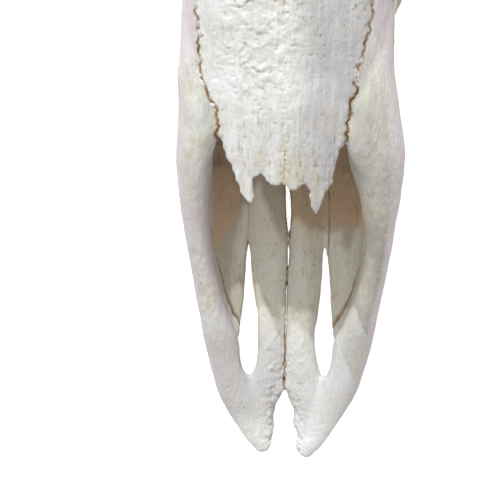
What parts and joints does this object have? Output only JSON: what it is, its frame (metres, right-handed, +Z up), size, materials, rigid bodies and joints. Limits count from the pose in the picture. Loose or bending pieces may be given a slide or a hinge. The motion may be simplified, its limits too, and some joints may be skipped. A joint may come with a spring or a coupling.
{
  "type": "giraffe skull",
  "caption": "Skull of a grown male giraffe without its lower jaw, life size, lying on its upper teeth, with horns and a forehead boss.",
  "frame": {"origin": "On the floor, below the middle of the skull's length and width.", "axes": "+Z is up. The muzzle points along -Y, the back of the head along +Y. The animal's right side is -X, so nodes named left are at -X, as they lie in the picture."},
  "size_m": [0.2401, 0.6644, 0.3092],
  "materials": {
    "bone": "matt",
    "horn_bone": "matt, rough"
  },
  "bodies": {
    "root": {"nasal_left": "bone", "nasal_right": "bone", "premaxilla_left": "bone", "premaxilla_right": "bone", "maxilla_left": "bone", "maxilla_right": "bone", "frontal": "bone", "palatine": "bone", "zygomatic_left": "bone", "zygomatic_right": "bone", "parietal": "bone", "temporal_left": "bone", "temporal_right": "bone", "occipital": "bone", "ossicone_left": "horn_bone", "ossicone_right": "horn_bone", "ossicone_median": "horn_bone"}
  },
  "joints": []
}
